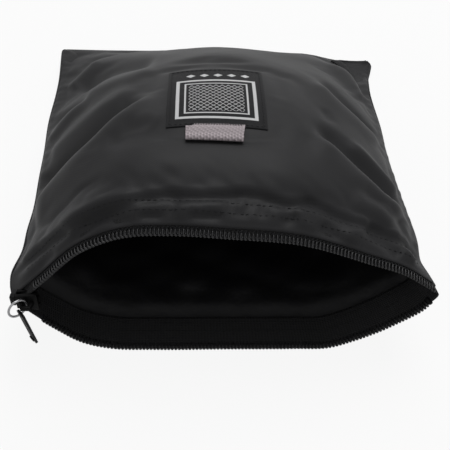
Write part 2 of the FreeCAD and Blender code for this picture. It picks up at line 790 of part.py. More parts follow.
stitch_over = f"-({S('layer_gap')} / 2)"
stitch_under = f"({TAPE_IN} + {S('layer_gap')})"
for number in (1, 2):
    front = f"({S('first_row')} + {number - 1} * {S('row_gap')})"
    back = f"({front} + {S('thread_wide')})"
    stops = [(front, "0"), (back, "0")]
    outside = f"({stitch_over} - {S('thread_tall')})"
    band(f"lip_stitch_upper_{number}", "upper", stops, outside, stitch_over)
    inside = f"({stitch_under} + {S('thread_tall')})"
    stops = [(front, tape_draw(front)), (back, tape_draw(front))]
    band(f"lip_stitch_lower_{number}", "lower", stops, stitch_under, inside)


# Bound seam allowances inside the two side seams --------------------------------------------------

def seam_binding(name, side):
    body = new_body(name)
    first = f"({S('tape_inside')} + {S('layer_gap')} + {S('slack')})"
    last = f"({S('pouch_length')} - {S('binding_end')})"
    sketches = []
    for n, step in enumerate((0, 0.25, 0.5, 0.75, 1)):
        s = Station(f"({first} + ({last} - {first}) * {step})", LINING_IN)
        sketch = station_sketch(body, f"{name}_{n}", s)
        tip = f"({side} * ({s.half} - {S('slack')}))"
        edge = f"({side} * ({s.half} - {S('slack')} - {S('binding_wide')}))"
        thick = half_of(S("binding_thick"))
        corners = [(tip, s.seam), (edge, f"{s.seam} + {thick}"), (edge, f"{s.seam} - {thick}")]
        outline(sketch, corners)
        sketches.append(sketch)
    loft(body, "Additive", sketches)


seam_binding("side_binding_left", -1)
seam_binding("side_binding_right", 1)


# Check and export ---------------------------------------------------------------------------------

NODES = [
    "outer_shell", "padding", "lining", "side_binding_left", "side_binding_right",
    "zip_tape_upper", "zip_tape_lower", "zip_coil_upper", "zip_coil_lower",
    "zip_end", "bottom_stop", "top_stop_upper", "top_stop_lower",
    "slider_body", "slider_crown", "pull_ring", "pull_tab",
    "label_patch", "label_stitching", "webbing_tack", "webbing_root", "webbing_loop",
    "lip_stitch_upper_1", "lip_stitch_upper_2", "lip_stitch_lower_1", "lip_stitch_lower_2",
]

doc.recompute()
for obj in doc.Objects:
    if "Invalid" in obj.State or "Error" in obj.State:
        raise RuntimeError(f"{obj.Name} failed: {obj.State}")

os.makedirs("parts", exist_ok=True)
for node in NODES:
    shape = doc.getObject(node).Shape
    if shape.isNull() or not shape.isValid() or not shape.Solids:
        raise RuntimeError(f"{node} has no valid shape")
    shape.exportStep(f"parts/{node}.step")
    box = shape.optimalBoundingBox(True, False)
    print(f"{node:22s} {len(shape.Solids)} solid(s) {shape.Volume:10.1f} mm3", end="  ")
    print(f"x {box.XMin:.1f}..{box.XMax:.1f} y {box.YMin:.1f}..{box.YMax:.1f}", end=" ")
    print(f"z {box.ZMin:.2f}..{box.ZMax:.1f}")


def show(name, vector):
    print(f"{name}: {vector.x:.6f}, {vector.y:.6f}, {vector.z:.6f}")


print(f"slider travel: {value(travel):.3f}")
show("ring hinge", frame_point(slider_x, chain.seam, eye_out))
show("ring axis", UP)
show("pull hinge", wire_low)
show("pull axis", axle)
show("webbing hinge", hinge)
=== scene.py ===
import json
import math

import bmesh
import bpy
import numpy as np
from mathutils import Matrix, Vector
from mathutils.bvhtree import BVHTree


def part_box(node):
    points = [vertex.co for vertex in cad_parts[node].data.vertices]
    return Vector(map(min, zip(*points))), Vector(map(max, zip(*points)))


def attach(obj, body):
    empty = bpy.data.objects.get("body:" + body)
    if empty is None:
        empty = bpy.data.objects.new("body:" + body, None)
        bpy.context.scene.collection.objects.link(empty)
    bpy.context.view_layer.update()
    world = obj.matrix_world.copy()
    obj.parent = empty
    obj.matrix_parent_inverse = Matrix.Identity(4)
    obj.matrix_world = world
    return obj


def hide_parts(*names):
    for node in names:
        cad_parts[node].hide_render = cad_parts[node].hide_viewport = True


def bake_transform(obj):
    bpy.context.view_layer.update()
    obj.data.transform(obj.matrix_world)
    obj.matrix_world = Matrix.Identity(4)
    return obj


# Zippered padded pouch lying on its lower panel with its mouth held open.
# X runs across the mouth, Y from the mouth to the folded end, Z up. Sizes below are in
# millimetres and are turned to metres as each mesh is written.

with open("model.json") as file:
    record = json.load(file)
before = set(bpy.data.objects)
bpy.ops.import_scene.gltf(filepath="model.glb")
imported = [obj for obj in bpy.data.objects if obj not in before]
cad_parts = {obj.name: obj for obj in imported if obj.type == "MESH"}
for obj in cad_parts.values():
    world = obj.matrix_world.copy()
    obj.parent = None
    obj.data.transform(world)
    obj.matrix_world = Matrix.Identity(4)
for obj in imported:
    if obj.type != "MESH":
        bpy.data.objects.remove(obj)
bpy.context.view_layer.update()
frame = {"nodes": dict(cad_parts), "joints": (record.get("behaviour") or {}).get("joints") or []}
MM = 0.001


# Camera ---------------------------------------------------

def make_camera():
    turn, down, roll = math.radians(4.08), math.radians(57.78), math.radians(-3.49)
    right = Vector((math.cos(turn), -math.sin(turn), 0))
    up = Vector((math.sin(turn) * math.sin(down), math.cos(turn) * math.sin(down), math.cos(down)))
    data = bpy.data.cameras.new("camera")
    data.sensor_width = 36
    data.lens = 53.72
    data.clip_start = 0.01
    camera = bpy.data.objects.new("camera", data)
    side = right * math.cos(roll) - up * math.sin(roll)
    top = right * math.sin(roll) + up * math.cos(roll)
    turned = Matrix((side, top, side.cross(top))).transposed().to_4x4()
    camera.matrix_world = Matrix.Translation((-0.01391, -0.2569, 0.35311)) @ turned
    bpy.context.scene.collection.objects.link(camera)
    bpy.context.scene.camera = camera


make_camera()


# Shape of the pouch ---------------------------------------
# t runs from 0 at the rim of the mouth to 1 at the fold, and u from 0 at the left seam to 1 at the
# right one. A cross-section stands on a plane that leans back; v is the height up that plane.

LENGTH = 220
MOUTH_HALF = 109
FOLD_RADIUS = 6.5
HEEL_RADIUS = 42
LEAN = 16  # degrees, at the mouth
SWAY = 10.8
SEAM_SHARE = 0.94  # how close to the seams the columns of a panel crowd together
# the open lips as they hang: the corners sit at different heights and the upper lip droops
UPPER_LIP = [(-108.5, 39), (-94, 55), (-70, 79), (-50, 88), (-28, 89.5), (0, 87.5), (36, 83),
             (70, 70), (92, 60), (104, 51), (110, 46)]
LOWER_LIP = [(-108.5, 39), (-92, 20), (-76, 6), (-62, 1.2), (-40, 0), (0, 0), (40, 0), (58, 0.6),
             (72.5, 7.3), (93.5, 22), (107, 35.5), (110, 46)]


def mix(a, b, share):
    return a + (b - a) * share


def ease(low, high, x):
    """0 below low, 1 above high and smooth between them."""
    s = np.clip((np.asarray(x, float) - low) / (high - low), 0, 1)
    return s * s * (3 - 2 * s)


def smooth_line(points, count=400):
    """A smooth line through the points, as an array of evenly spread samples."""
    p = np.asarray(points, float)
    knots = np.concatenate([[0], np.cumsum(np.linalg.norm(np.diff(p, axis=0), axis=1))])
    slopes = np.gradient(p, knots, axis=0)
    s = np.linspace(0, knots[-1], count)
    k = np.clip(np.searchsorted(knots, s, side="right") - 1, 0, len(p) - 2)
    gap = (knots[k + 1] - knots[k])[:, None]
    h = (s - knots[k])[:, None] / gap
    return ((1 + 2 * h) * (1 - h) ** 2 * p[k] + h * (1 - h) ** 2 * gap * slopes[k]
            + h * h * (3 - 2 * h) * p[k + 1] + h * h * (h - 1) * gap * slopes[k + 1])


def section(t):
    """Seam height, half width, run of the sloping side and height of the middle at t."""
    swell = 4 * t * (1 - t)
    seam = mix(40.5, 4.5, t) + 9 * swell
    half = mix(MOUTH_HALF, 113, t) - 7 * swell
    return seam, half, mix(36, 34, t), mix(87.2, 9, t) + 35 * swell


def stand(x, t, v):
    """Points at height v up the leaning plane of each cross-section."""
    lean = np.radians(LEAN * (1 - t))
    return np.stack([x, LENGTH * (t - 0.5) + v * np.sin(lean), v * np.cos(lean)], -1)


def arch(x, t, inset=0):
    """Height of the upper panel over x, before the lip's own shape."""
    seam, half, run, top = section(t)
    half = half - inset / np.sin(np.arctan(seam / run))
    top = top - inset
    rise = np.maximum(top - seam, 0.5)
    radius = (half ** 2 + rise ** 2) / (2 * rise)
    return top - radius + np.sqrt(np.maximum(radius ** 2 - x ** 2, 0))


def trough(x, t, inset=0):
    """Height of the lower panel over x: flat, then a round heel and a straight side."""
    seam, half, run, _ = section(t)
    slope = np.arctan(seam / run)
    half = half - inset / np.sin(slope)
    heel = HEEL_RADIUS - inset
    toe = half - (seam - inset) / np.tan(slope)
    reach = heel * np.tan(slope / 2)
    x = np.abs(x)
    bend = inset + heel - np.sqrt(np.maximum(heel ** 2 - np.maximum(x - (toe - reach), 0) ** 2, 1))
    side = seam - (half - x) * np.tan(slope)
    return np.where(x < toe + reach * np.cos(slope), bend, side)


lip_above = smooth_line(UPPER_LIP)
lip_below = smooth_line(LOWER_LIP)


def lip_change(x, above):
    """How far the real lip stands above the plain cross-section at the mouth."""
    line = lip_above if above else lip_below
    plain = arch(x, 0.0) if above else trough(x, 0.0)
    return np.interp(x, line[:, 0], line[:, 1]) - plain


def edges(t):
    """Where the left and right seams stand, before the corners of the folded end are rounded."""
    half, sway = section(t)[1], SWAY * t * (1 - t)
    ear = 4.8 * np.exp(-((t * LENGTH - 10) / 12) ** 2) + 1.5 * np.exp(-((t - 0.17) / 0.06) ** 2)
    ear = ear + 1.0 * np.exp(-((t - 0.36) / 0.1) ** 2) + 2.0 * np.exp(-((t - 0.58) / 0.13) ** 2)
    dent = 3.2 * ease(0.55, 0.78, t) * (1 - ease(0.8, 1, t))
    pulled = 3 * np.exp(-((t - 0.05) / 0.05) ** 2)
    return -half - ear - sway, half - dent - pulled - sway


def panel(u, t, above=True, inset=0.0):
    """Points on a layer of the upper or lower panel, in millimetres."""
    u, t = np.broadcast_arrays(np.asarray(u, float), np.asarray(t, float))
    start = 1 - FOLD_RADIUS / LENGTH
    end = np.clip((t - start) / (1 - start), 0, 1)
    seam, half, run, _ = section(np.minimum(t, 1))
    corner = inset / np.sin(np.arctan(seam / run))
    across = np.sin((u - 0.5) * np.pi * SEAM_SHARE) / np.sin(0.5 * SEAM_SHARE * np.pi)
    plain = (half - corner) * across
    rounding = 7 * (1 - np.sqrt(1 - end ** 2 * 0.9))
    left, right = edges(t)
    sway = SWAY * t * (1 - t)
    x = plain - rounding * across - sway
    x = x + (left + half + sway) * np.clip(-across, 0, 1) ** 3
    x = x + (right - half + sway) * np.clip(across, 0, 1) ** 3
    mouth = 1 - ease(0, 0.55, t)
    x_mouth = MOUTH_HALF * across
    if above:
        v = arch(plain, t, inset) + mouth * lip_change(x_mouth, True)
    else:
        v = trough(plain, t, inset) + mouth * lip_change(x_mouth, False)
    v = v * (1 - 0.6 * ease(0.55, 0.97, across) * ease(0.8, 0.96, t))
    lift = 3.2 * ease(0.4, 1, -across) * ease(0.8, 0.97, t)
    v = v + lift
    middle = section(t)[0] * 0.9 + lift
    round_end = np.sqrt(np.maximum(1 - end ** 2, 0))
    v = np.where(end > 0, middle + (v - middle) * round_end, v)
    points = stand(x, t, v)
    points[..., 1] -= 5 * ease(0.45, 0.95, across) * ease(0.8, 1, t)
    return points


# Meshes ---------------------------------------------------

def write_mesh(name, bm):
    """A new object from a bmesh whose points are in millimetres."""
    bmesh.ops.scale(bm, vec=(MM, MM, MM), verts=bm.verts)
    for face in bm.faces:
        face.smooth = True
    mesh = bpy.data.meshes.new(name)
    bm.to_mesh(mesh)
    bm.free()
    piece = bpy.data.objects.new(name, mesh)
    bpy.context.scene.collection.objects.link(piece)
    return piece


def grid(columns, rows, place, wrap=0.0):
    """A bmesh sheet whose point at shares (a, b) goes to place(a, b), with a UV map that runs from
    0 to 1 across it.

    wrap merges points that meet, for a sheet that closes on itself.
    """
    bm = bmesh.new()
    bm.loops.layers.uv.new("cloth")
    bmesh.ops.create_grid(bm, x_segments=columns, y_segments=rows, size=1, calc_uvs=True)
    shares = np.array([v.co for v in bm.verts])[:, :2] * 0.5 + 0.5
    for vert, point in zip(bm.verts, place(shares[:, 0], shares[:, 1])):
        vert.co = point
    if wrap:
        bmesh.ops.remove_doubles(bm, verts=bm.verts, dist=wrap)
    return bm


def face_out(bm):
    """Turns every face outwards; the highest face of a piece faces up."""
    bmesh.ops.recalc_face_normals(bm, faces=bm.faces)
    bm.normal_update()
    top = max(bm.faces, key=lambda face: face.calc_center_median().z)
    if top.normal.z < 0:
        bmesh.ops.reverse_faces(bm, faces=bm.faces)


def scale_uv(piece, width, length):
    layer = piece.data.uv_layers[0].data
    values = np.empty(len(layer) * 2)
    layer.foreach_get("uv", values)
    values = values.reshape(-1, 2) * (width, length)
    layer.foreach_set("uv", values.ravel())


def points_of(piece):
    values = np.empty(len(piece.data.vertices) * 3)
    piece.data.vertices.foreach_get("co", values)
    return values.reshape(-1, 3) / MM


def normals_of(piece):
    values = np.empty(len(piece.data.vertices) * 3)
    piece.data.vertices.foreach_get("normal", values)
    return values.reshape(-1, 3)


def move_points(piece, points):
    piece.data.vertices.foreach_set("co", (points * MM).ravel())
    piece.data.update()


def bake(piece):
    """Applies every modifier of a piece to its mesh."""
    bpy.context.view_layer.update()
    seen = piece.evaluated_get(bpy.context.evaluated_depsgraph_get())
    mesh = bpy.data.meshes.new_from_object(seen)
    piece.modifiers.clear()
    piece.data = mesh


def modifier(piece, kind, **settings):
    made = piece.modifiers.new(kind.lower(), kind)
    for key, setting in settings.items():
        setattr(made, key, setting)
    return made


def give_finish(piece, slot):
    """Gives a piece the finish of one of the record's material slots."""
    piece.data.materials.clear()
    piece.data.materials.append(FINISHES[slot])


def finish_piece(piece, body, nodes, slot):
    """Lets a piece ride on a body and stand for its CAD nodes."""
    give_finish(piece, slot)
    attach(piece, body)
    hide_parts(*nodes)


# Finishes -------------------------------------------------

class Signal:
    """A value that changes over a surface; arithmetic on it adds Math nodes."""

    def __init__(self, graph, socket):
        self.graph = graph
        self.socket = socket

    def math(self, operation, *values):
        return self.graph.node("ShaderNodeMath", {"operation": operation}, dict(enumerate(values)))

    def __add__(self, other):
        return self.math("ADD", self, other)

    def __radd__(self, other):
        return self.math("ADD", other, self)

    def __sub__(self, other):
        return self.math("SUBTRACT", self, other)

    def __rsub__(self, other):
        return self.math("SUBTRACT", other, self)

    def __mul__(self, other):
        return self.math("MULTIPLY", self, other)

    def __rmul__(self, other):
        return self.math("MULTIPLY", other, self)

    def size(self):
        return self.math("ABSOLUTE", self)

    def wave(self):
        return self.math("SINE", self)

    def most(self, other):
        return self.math("MAXIMUM", self, other)

    def between(self, low, high):
        """Rises smoothly from 0 at low to 1 at high."""
        settings = {"interpolation_type": "SMOOTHSTEP"}
        return self.graph.node("ShaderNodeMapRange", settings, {"Value": self, 1: low, 2: high})


class Graph:
    """The nodes of a material or a world."""

    def __init__(self, tree):
        self.tree = tree

    def feed(self, socket, given):
        if isinstance(given, Signal):
            self.tree.links.new(given.socket, socket)
        else:
            socket.default_value = given

    def node(self, kind, settings=None, inputs=None, output=0):
        """Adds a node with its settings and inputs, and returns one of its outputs."""
        made = self.tree.nodes.new(kind)
        for key, setting in (settings or {}).items():
            setattr(made, key, setting)
        for key, given in (inputs or {}).items():
            self.feed(made.inputs[key], given)
        return Signal(self, made.outputs[output])

    def seen_directly(self):
        """1 for camera, glossy and transmission rays, and 0 for the others."""
        camera, glossy, through = (
            self.node("ShaderNodeLightPath", output=f"Is {kind} Ray")
            for kind in ("Camera", "Glossy", "Transmission"))
        return camera.most(glossy).most(through)


class Finish(Graph):
    """One material: a shader whose constants are given once, and the nodes that feed it."""

    def __init__(self, name, colour, roughness, **constants):
        self.material = bpy.data.materials.new(name)
        self.material.use_nodes = True
        super().__init__(self.material.node_tree)
        self.shader = self.tree.nodes["Principled BSDF"]
        self.material.diffuse_color = (*colour, 1)
        self.feed(self.shader.inputs["Base Color"], (*colour, 1))
        self.feed(self.shader.inputs["Roughness"], roughness)
        for key, constant in constants.items():
            self.feed(self.shader.inputs[key.replace("_", " ")], constant)

    def object_place(self):
        return self.node("ShaderNodeTexCoord", output="Object")

    def cloth_place(self):
        return self.node("ShaderNodeUVMap", {"uv_map": "cloth"})

    def axis(self, place, name):
        return self.node("ShaderNodeSeparateXYZ", inputs={0: place}, output=name)

    def noise(self, place, scale, detail=3):
        inputs = {"Scale": scale, "Detail": detail, "Roughness": 0.5, "Vector": place}
        return self.node("ShaderNodeTexNoise", inputs=inputs)

    def mix_colour(self, factor, low, high):
        inputs = {0: factor, 6: low, 7: high}
        return self.node("ShaderNodeMix", {"data_type": "RGBA"}, inputs, output=2)

    def colour(self, given):
        self.feed(self.shader.inputs["Base Color"], given)

    def rough(self, given):
        self.feed(self.shader.inputs["Roughness"], given)

    def bump(self, height, distance):
        """Raises the surface by height times distance, in metres."""
        inputs = {"Height": height, "Distance": distance, "Strength": 1.0}
        self.feed(self.shader.inputs["Normal"], self.node("ShaderNodeBump", inputs=inputs))


def shade(colour, factor=1.0):
    return tuple(c * factor for c in colour) + (1,)


def coated_nylon():
    """Plain-weave nylon with a soft sheen, slightly mottled where it is worn."""
    black = (0.0165, 0.0165, 0.0175)
    f = Finish("coated nylon", black, 0.6, Sheen_Weight=0.02, Sheen_Roughness=0.5,
               Specular_IOR_Level=0.13)
    place = f.cloth_place()
    across, along = f.axis(place, "X"), f.axis(place, "Y")
    thread = 2 * math.pi / 0.0011
    weave = (across * thread).wave() * (along * thread).wave()
    mottle = f.noise(f.object_place(), 55, 4)
    cloud = f.noise(f.object_place(), 9, 2)
    f.colour(f.mix_colour(mottle * 0.6 + cloud * 0.4, shade(black, 0.82), shade(black, 1.22)))
    f.rough(0.48 + 0.12 * cloud)
    f.bump(weave * 0.2 + mottle * 0.8, 0.00007)
    return f.material


def lining_taffeta():
    black = (0.0066, 0.0066, 0.0072)
    f = Finish("lining taffeta", black, 0.38, Specular_IOR_Level=0.1)
    place = f.object_place()
    crumple = f.noise(place, 60, 4)
    f.rough(0.3 + 0.2 * crumple)
    f.bump(crumple, 0.0008)
    return f.material


def tape_cloth():
    """Woven zipper tape with ribs across it."""
    black = (0.008, 0.008, 0.0085)
    f = Finish("zipper tape cloth", black, 0.62, Sheen_Weight=0.03, Specular_IOR_Level=0.15)
    place = f.cloth_place()
    across, along = f.axis(place, "X"), f.axis(place, "Y")
    rib = (across * (2 * math.pi / 0.0014)).wave()
    pick = (along * (2 * math.pi / 0.001) + rib * 0.8).wave()
    f.colour(f.mix_colour(rib * 0.3 + pick * 0.2 + 0.5, shade(black, 0.6), shade(black, 1.5)))
    f.bump(rib * 0.6 + pick * 0.4, 0.00012)
    return f.material


def coil_nylon():
    black = (0.009, 0.009, 0.01)
    f = Finish("coil nylon", black, 0.36, Specular_IOR_Level=0.3)
    speck = f.noise(f.object_place(), 900, 2)
    f.rough(0.3 + 0.16 * speck)
    f.bump(speck, 0.00003)
    return f.material


def thread_finish():
    black = (0.012, 0.012, 0.013)
    f = Finish("bonded thread", black, 0.5, Sheen_Weight=0.02, Specular_IOR_Level=0.1)
    place = f.object_place()
    twist = (f.axis(place, "X") * 9000 + f.axis(place, "Y") * 7000).wave()
    f.bump(twist, 0.00004)
    return f.material


def enamel(name, grey):
    colour = (grey, grey, grey * 1.03)
    f = Finish(name, colour, 0.5, Specular_IOR_Level=0.05)
    place = f.object_place()
    wear = f.noise(place, 420, 3).between(0.56, 0.72)
    f.colour(f.mix_colour(wear, shade(colour), shade(colour, 2.2)))
    f.rough(0.48 + 0.2 * wear)
    f.bump(f.noise(place, 1500, 2), 0.00002)
    return f.material


def nickel_wire():
    f = Finish("nickel wire", (0.27, 0.27, 0.276), 0.22, Metallic=1.0)
    scratch = f.noise(f.object_place(), 1400, 3)
    f.rough(0.22 + 0.2 * scratch)
    f.bump(scratch, 0.00002)
    return f.material


def binding_tape():
    black = (0.02, 0.02, 0.021)
    f = Finish("binding tape", black, 0.7, Sheen_Weight=0.03, Specular_IOR_Level=0.1)
    rib = (f.axis(f.object_place(), "Y") * (2 * math.pi / 0.0016)).wave()
    f.bump(rib, 0.0002)
    return f.material


def webbing_weave():
    """Pale ribbed webbing: rows of slanted picks that lean one way and then the other."""
    pale = (0.45, 0.395, 0.415)
    f = Finish("webbing weave", pale, 0.72, Sheen_Weight=0.08, Specular_IOR_Level=0.15)
    place = f.cloth_place()
    across, along = f.axis(place, "X"), f.axis(place, "Y")
    rib = (across * (2 * math.pi / 0.00155)).wave()
    pick = (across * (math.pi / 0.00155)).wave() * (along * (2 * math.pi / 0.0023)).wave()
    roll = 1 - (along - 0.0135).size().between(0.002, 0.005)
    tone = pick * (roll * 0.16 + 0.12) + rib * (roll * 0.16 + 0.1) + 0.5
    f.colour(f.mix_colour(tone, shade(pale, 0.55), shade(pale, 1.2)))
    f.bump(pick * 0.6 + rib * 0.4, 0.00022)
    return f.material


LABEL_SIZE = (0.052, 0.062)
BORDER_SHIFT = 0.0046


def label_weave():
    """A black woven label: a pale double border, a lattice and a row of lozenges."""
    black, pale = (0.011, 0.011, 0.012), (0.72, 0.72, 0.73)
    f = Finish("label weave", black, 0.6, Sheen_Weight=0.02, Specular_IOR_Level=0.1)
    place = f.cloth_place()
    x = f.axis(place, "X") - LABEL_SIZE[0] / 2
    y = f.axis(place, "Y") - LABEL_SIZE[1] / 2

    def frame_line(half_x, half_y, wide):
        edge = (x.size() - half_x).most((y + BORDER_SHIFT).size() - half_y)
        return 1 - edge.size().between(wide * 0.5, wide * 0.5 + 0.00025)

    outer = frame_line(0.0205, 0.0192, 0.0016)
    inner = frame_line(0.0165, 0.0152, 0.0007)
    step = 0.0075
    lozenge_x = (x.math("MODULO", x + 1, step) - step / 2).size()
    row = (y - 0.0215).size()
    lozenge = 1 - (lozenge_x + row * 1.2).between(0.0024, 0.0028)
    band = lozenge * (1 - x.size().between(0.0186, 0.0188))
    fine = ((x + y) * (2 * math.pi / 0.0066)).wave().size().most(
        ((x - y) * (2 * math.pi / 0.0066)).wave().size())
    field = (x.size() - 0.0145).most((y + BORDER_SHIFT).size() - 0.0132)
    inside = 1 - field.between(0, 0.0002)
    lattice = fine.between(0.965, 0.985) * inside
    mark = outer.most(inner).most(band).most(lattice)
    thread = 2 * math.pi / 0.0006
    weave = (x * thread).wave() * (y * thread).wave()
    f.colour(f.mix_colour(mark * (0.88 + 0.12 * weave), shade(black), shade(pale)))
    f.bump(mark * 1.2 + weave * 0.4, 0.00012)
    return f.material


FINISHES = {
    "outer_cloth": coated_nylon(),
    "lining_cloth": lining_taffeta(),
    "zip_tape": tape_cloth(),
    "zip_coil": coil_nylon(),
    "thread": thread_finish(),
    "slider_paint": enamel("slider enamel", 0.003),
    "stop_metal": enamel("stop enamel", 0.01),
    "ring_metal": nickel_wire(),
    "binding": binding_tape(),
    "webbing": webbing_weave(),
    "label_cloth": label_weave(),
}


# Padded wall ----------------------------------------------

# folds of the upper panel: points in plan, height (below zero for a hollow), and the width of the
# fold on its left and on its right
FOLDS = [
    ([(-81, 79), (-90, 66), (-100, 54)], 2.6, 5, 5),
    ([(-40, 50), (-62, 52), (-78, 50), (-92, 44)], -6.0, 11, 14),
    ([(-37, 31), (-53, 25), (-69, 22), (-84, 19)], 2.2, 8, 9),
    ([(-78, 13), (-88, 11), (-96, 7), (-105, 0)], 2.6, 6, 5),
    ([(-79, 19), (-91, 20), (-103, 16)], -1.8, 4, 4),
    ([(-47, 9), (-64, 1), (-81, -7), (-91, -10), (-104, -13)], 2.2, 6, 8),
    ([(-43, -4), (-56, -12), (-65, -18), (-73, -23), (-84, -27), (-93, -31), (-106, -37)],
     -5.2, 5, 7),
    ([(-34, -3), (-47, -15), (-58, -24), (-66, -34), (-78, -41), (-90, -48), (-106, -56)],
     4.6, 13, 5),
    ([(-30, -25), (-40, -31), (-50, -36), (-61, -41)], -2.4, 7, 6),
    ([(-30, -20), (-41, -23), (-50, -27)], 1.2, 4, 4),
    ([(-75, 66), (-84, 84)], 1.4, 6, 7),
    ([(84, 104), (92, 88), (96, 66), (100, 46)], -3.2, 7, 5),
    ([(76, 80), (87, 60), (94, 40)], 2.4, 6, 8),
    ([(59, 33), (68, 20), (78, 11), (92, 2)], -2.6, 4, 4),
    ([(54, 27), (64, 12), (77, 2), (93, -9)], 2.4, 5, 10),
    ([(55, -3), (59, -14)], -1.6, 3, 3),
    ([(47, -21), (56, -27), (64, -33), (72, -40), (81, -48), (94, -59)], -5.0, 5, 6),
    ([(43, -31), (54, -38), (66, -48), (77, -57), (92, -68)], 4.6, 6, 12),
    ([(66, -25), (75, -32), (84, -39), (96, -47)], 2.6, 4, 4),
    ([(67, -59), (80, -65), (94, -72)], -2.0, 4, 4),
    ([(60, -64), (75, -71), (90, -78)], 2.0, 4, 5),
    ([(78, 92), (96, 92), (114, 92)], 1.8, 8, 7),
]
# gathers and hollows of the hem, given in the same way
GATHERS = [
    ([(-40, -77), (-51, -78.5), (-60, -78.5), (-69, -82), (-77, -88)], 2.8, 2.6, 9),
    ([(-76, -92), (-70, -87), (-63, -82.8), (-56, -83.2), (-50, -88), (-46, -92)], -4.2, 2.8, 2.8),
    ([(-93, -96), (-84, -92)], -1.8, 4, 4),
    ([(-43, -84.3), (-36, -84.4), (-31, -84.2)], -2.2, 2.0, 2.0),
    ([(-46, -80), (-37, -79), (-30, -79.4)], 1.2, 3.0, 4.0),
    ([(-20, -84), (-11, -84.2), (-3, -83.6)], -2.2, 2.0, 2.0),
    ([(-21, -79.4), (-11, -78.8), (-2, -78.8)], 1.2, 3.0, 4.0),
    ([(-27, -86), (-26, -80), (-25, -74)], -1.4, 2.0, 2.6),
    ([(2, -86), (2, -80), (4, -74)], -1.4, 2.0, 2.6),
    ([(14, -85), (16, -80), (18, -76)], -1.2, 2.0, 2.6),
    ([(-25, -86), (-23, -78)], 1.0, 3, 3),
    ([(6, -85), (9, -79), (12, -75)], -2.0, 2.6, 2.6),
    ([(25, -86), (29, -84), (33, -82)], -2.4, 3, 3),
    ([(31, -81), (36, -77)], 1.4, 4, 5),
    ([(44, -84), (49, -88), (53, -92)], -3.2, 4, 3.5),
    ([(56, -91), (62, -85), (72, -78)], 2.2, 5, 4),
    ([(68, -79), (78, -85), (88, -92)], -3.0, 4, 4.5),
    ([(78, -78), (88, -85), (97, -93)], 1.8, 4, 4),
    ([(92, -82), (99, -90)], -1.6, 3, 3),
]
# how far behind the rim the back of the hem stands, over x
HEM_BACK = [(-110, 8), (-90, 7), (-75, 5), (-61, 5.7), (-49, 7), (-37, 9.5), (-29, 11.3),
            (-20, 10.8), (-10, 11.2), (0, 13), (10, 14.3), (22, 11.6), (30, 10.3), (39, 14.5),
            (50, 12), (60, 10.5), (72, 11.5), (84, 10.5), (96, 10), (110, 8)]
RIM_AHEAD = 3.2
DEEPEST = 0.22  # the deepest hollow, as a share of its height over the floor
CLOTH_FRAMES = 20
CLOTH_REACH = 2.2  # the farthest that the cloth moves
CLOTH_SLACK = 1.6  # how far it is drawn in first
WALL_COLUMNS, WALL_ROWS, END_ROWS = 148, 78, 6
LABEL = (-31, 21, 0.259, 0.541)  # left and right in x, front and back in t


def beside(points, line):
    """Signed distance from each point to a line in plan, and a fade at the line's two ends."""
    line = smooth_line(line, 24)
    starts, ways = line[:-1], np.diff(line, axis=0)
    delta = points[:, None, :] - starts[None]
    share = np.clip((delta * ways).sum(-1) / (ways ** 2).sum(1), 0, 1)
    gap = delta - share[..., None] * ways
    far = (gap ** 2).sum(-1)
    best, rows = far.argmin(1), np.arange(len(points))
    cross = ways[best, 0] * gap[rows, best, 1] - ways[best, 1] * gap[rows, best, 0]
    place = (best + share[rows, best]) / len(starts)
    fade = ease(0, 0.2, place) * ease(0, 0.12, 1 - place)
    return np.sqrt(far[rows, best]) * np.sign(cross), 0.1 + 0.9 * fade


def behind_rim(points):
    """Floor distance of each point from the rim, found by undoing the lean."""
    y, z = points[:, 1], points[:, 2]
    t = y / LENGTH + 0.5
    for _ in range(4):
        t = (y - z * np.tan(np.radians(LEAN * (1 - t)))) / LENGTH + 0.5
    return t * LENGTH


def ripple(points, waves):
    """A smooth uneven surface from a few plane waves: way in degrees, length and height."""
    height = np.zeros(len(points))
    for number, (way, length, tall) in enumerate(waves):
        c, s = math.cos(math.radians(way)), math.sin(math.radians(way))
        along = (points[:, 0] * c + points[:, 1] * s) / length
        sway = 0.9 * np.sin((points[:, 0] * s - points[:, 1] * c) / length * 0.61 + number * 1.7)
        height += tall * np.sin(2 * np.pi * along + sway + number * 2.1)
    return height


def sum_folds(points, folds):
    height = np.zeros(len(points))
    for line, tall, left, right in folds:
        side, fade = beside(points[:, :2], line)
        wide = np.where(side > 0, left, right)
        height += tall * fade * np.exp(-(side / wide) ** 2)
    return height


def fold_heights(points, behind):
    height = sum_folds(points, FOLDS)
    height += ripple(points, [(20, 71, 0.5), (75, 53, 0.3), (130, 47, 0.3), (160, 61, 0.4)])
    return height * ease(8, 26, behind)


def off_label(points, behind):
    """0 on the label and 1 from a little way outside it."""
    left, right, front, back = LABEL
    middle, half = (left + right) / 2, (right - left) / 2
    centre, reach = (front + back) / 2 * LENGTH, (back - front) / 2 * LENGTH
    gap = np.maximum(np.abs(points[:, 0] - middle) - half, np.abs(behind - centre) - reach)
    return ease(0, 10, gap)


def around_wall(a):
    """The side and place across it of a share round the pouch: over the top, then underneath."""
    above = a <= 0.5
    return above, np.where(above, a * 2, 2 - a * 2)


def wall_place(a, b):
    above, u = around_wall(a)
    straight = 1 - FOLD_RADIUS / LENGTH
    rows = 1 - END_ROWS / WALL_ROWS
    turn = np.clip((b - rows) / (1 - rows), 0, 1) * np.pi / 2
    start = -RIM_AHEAD / LENGTH
    t = np.where(b <= rows, mix(start, straight, b / rows), mix(straight, 1, np.sin(turn)))
    return np.where(above[:, None], panel(u, t, True), panel(u, t, False))


def wall_facts(piece):
    """Where each point of the wall is: place, distance behind the rim and share of upper panel."""
    points = points_of(piece)
    return points, behind_rim(points), ease(0.02, 0.3, normals_of(piece)[:, 2])


